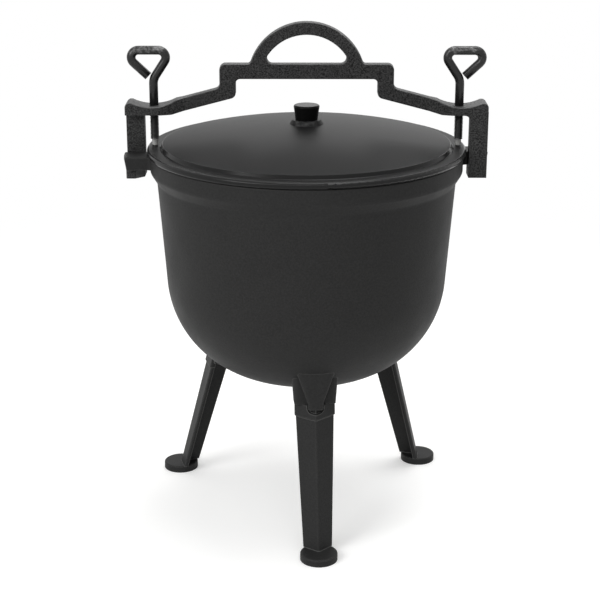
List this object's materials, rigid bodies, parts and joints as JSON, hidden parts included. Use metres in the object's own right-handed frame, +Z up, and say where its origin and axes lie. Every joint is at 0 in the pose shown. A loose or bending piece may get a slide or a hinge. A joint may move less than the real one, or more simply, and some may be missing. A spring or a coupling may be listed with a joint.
{
  "type": "lidded cauldron on legs",
  "caption": "Round-bottomed cast iron cooking pot on bolted angle legs, with a domed lid held down by a turning hooked bail and eye screws; for cooking over an open fire.",
  "frame": {"origin": "on the floor, on the pot's axis", "axes": "+Z up along the pot's axis; the front leg points along -Y; the rim's lugs lie along X"},
  "size_m": [0.3318, 0.3018, 0.4592],
  "materials": {
    "pot_iron": "sand-cast, black, satin",
    "lid_iron": "sand-cast, black, satin",
    "bail_iron": "coarse sand-cast, black, matte",
    "leg_iron": "sand-cast, black, satin",
    "knob_enamel": "black, semi-gloss",
    "screw_steel": "blackened steel, worn on the bends",
    "bolt_steel": "plain zinc"
  },
  "bodies": {
    "pot": {"pot": "pot_iron", "leg_front": "leg_iron", "leg_bolt_front": "bolt_steel", "leg_washer_front": "bolt_steel", "leg_left": "leg_iron", "leg_bolt_left": "bolt_steel", "leg_washer_left": "bolt_steel", "leg_right": "leg_iron", "leg_bolt_right": "bolt_steel", "leg_washer_right": "bolt_steel"},
    "lid": {"lid": "lid_iron", "lid_knob": "knob_enamel", "lid_knob_screw": "bolt_steel", "lid_knob_washer": "bolt_steel"},
    "bail": {"clamp_bail": "bail_iron"},
    "screw_left": {"clamp_screw_left": "screw_steel"},
    "screw_right": {"clamp_screw_right": "screw_steel"}
  },
  "joints": [
    {"name": "lid_turn", "type": "hinge", "parent": "pot", "child": "lid", "pos_m": [0, 0, 0.341], "axis": [0, 0, 1], "continuous": true},
    {"name": "bail_turn", "type": "hinge", "parent": "pot", "child": "bail", "pos_m": [0, 0, 0.341], "axis": [0, 0, 1], "range_deg": [-164, 0]},
    {"name": "screw_left_lift", "type": "slide", "parent": "bail", "child": "screw_left", "axis": [0, 0, 1], "range_m": [0, 0.022]},
    {"name": "screw_right_lift", "type": "slide", "parent": "bail", "child": "screw_right", "axis": [0, 0, 1], "range_m": [0, 0.022]}
  ]
}
